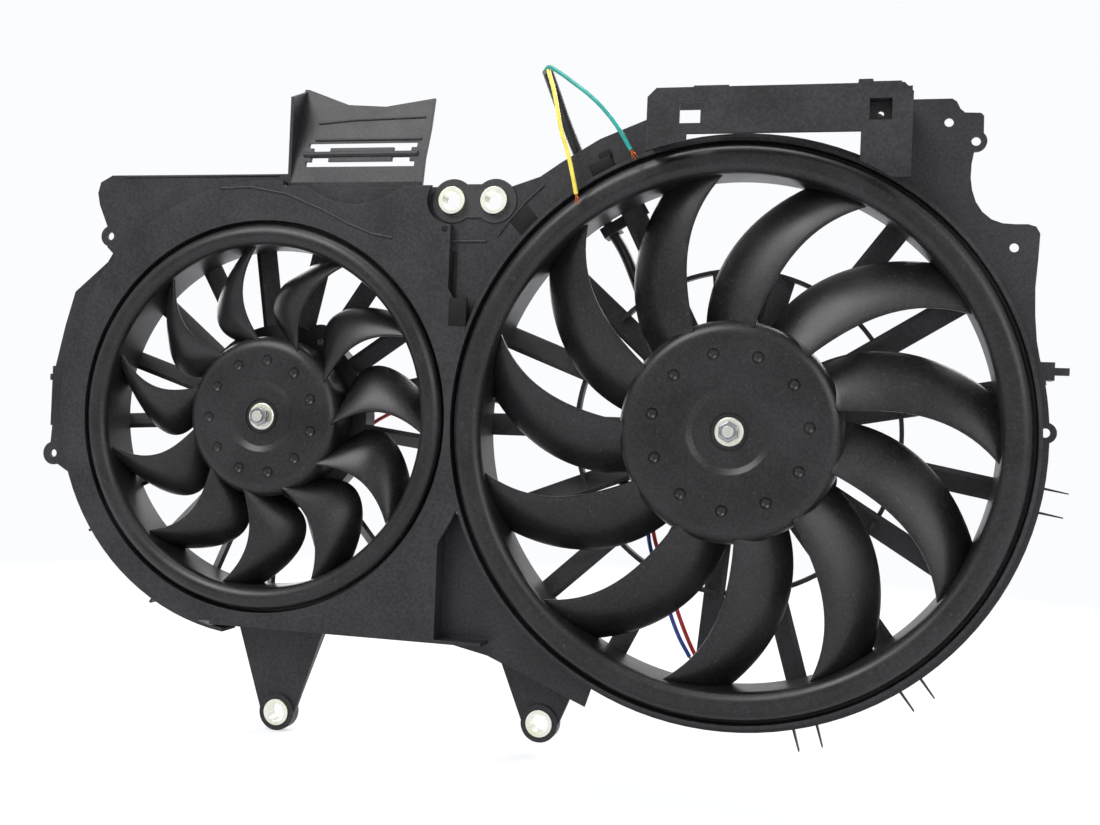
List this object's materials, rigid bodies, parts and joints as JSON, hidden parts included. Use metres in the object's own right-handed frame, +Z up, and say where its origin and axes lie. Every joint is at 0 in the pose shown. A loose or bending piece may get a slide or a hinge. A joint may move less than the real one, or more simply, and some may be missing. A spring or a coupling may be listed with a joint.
{
  "type": "radiator cooling fan",
  "caption": "Twin electric radiator cooling fan: a large and a small banded fan with their motors, carried by spokes on one moulded shroud with mounting sleeves.",
  "frame": {"origin": "front end of the bore of the lower mounting sleeve beside the large fan", "axes": "+X across the radiator from the small fan to the large fan, +Y along the air's path to the motor side, +Z up"},
  "size_m": [0.7679, 0.097, 0.493],
  "materials": {
    "black_plastic": "moulded, slightly grained",
    "fan_plastic": "moulded, satin",
    "grey_plastic": "moulded, worn matt",
    "zinc_steel": "drawn sheet, bright zinc",
    "bright_steel": "turned, bright",
    "copper": "varnished",
    "ferrite": "dull",
    "lead_sleeve": "smooth tubing",
    "yellow_insulation": "smooth",
    "teal_insulation": "smooth",
    "red_insulation": "smooth",
    "blue_insulation": "smooth"
  },
  "bodies": {
    "shroud": {"shroud_panel": "black_plastic", "large_collar": "black_plastic", "small_collar": "black_plastic", "large_stator": "black_plastic", "small_stator": "black_plastic", "top_bracket": "black_plastic", "top_rail": "black_plastic", "air_deflector": "black_plastic", "upper_mount_plate": "grey_plastic", "upper_sleeve_inner": "zinc_steel", "upper_sleeve_outer": "zinc_steel", "lower_sleeve_large": "zinc_steel", "lower_sleeve_small": "zinc_steel", "locator_left": "black_plastic", "locator_right": "black_plastic", "lead_clip_spoke": "black_plastic", "lead_clip_web": "black_plastic", "large_can": "zinc_steel", "large_end_plate": "zinc_steel", "large_lug_plate": "zinc_steel", "large_screws": "bright_steel", "large_magnets": "ferrite", "large_brushes": "ferrite", "large_front_bearing": "bright_steel", "large_rear_bearing": "bright_steel", "large_terminals": "black_plastic", "small_can": "zinc_steel", "small_end_plate": "zinc_steel", "small_lug_plate": "zinc_steel", "small_screws": "bright_steel", "small_magnets": "ferrite", "small_brushes": "ferrite", "small_front_bearing": "bright_steel", "small_rear_bearing": "bright_steel", "small_terminals": "black_plastic", "large_lead": "lead_sleeve", "yellow_feed": "yellow_insulation", "teal_feed": "teal_insulation", "yellow_tail": "yellow_insulation", "teal_tail": "teal_insulation", "small_lead": "lead_sleeve", "red_feed": "red_insulation", "blue_feed": "blue_insulation", "red_tail": "red_insulation", "blue_tail": "blue_insulation"},
    "large_rotor": {"large_fan": "fan_plastic", "large_fan_nut": "bright_steel", "large_shaft": "bright_steel", "large_armature": "bright_steel", "large_windings": "copper", "large_commutator": "copper"},
    "small_rotor": {"small_fan": "fan_plastic", "small_fan_nut": "bright_steel", "small_shaft": "bright_steel", "small_armature": "bright_steel", "small_windings": "copper", "small_commutator": "copper"}
  },
  "joints": [
    {"name": "large_fan_spin", "type": "hinge", "parent": "shroud", "child": "large_rotor", "pos_m": [0.1317, 0, 0.2167], "axis": [0, 1, 0], "continuous": true},
    {"name": "small_fan_spin", "type": "hinge", "parent": "shroud", "child": "small_rotor", "pos_m": [-0.2157, 0, 0.214], "axis": [0, 1, 0], "continuous": true}
  ]
}
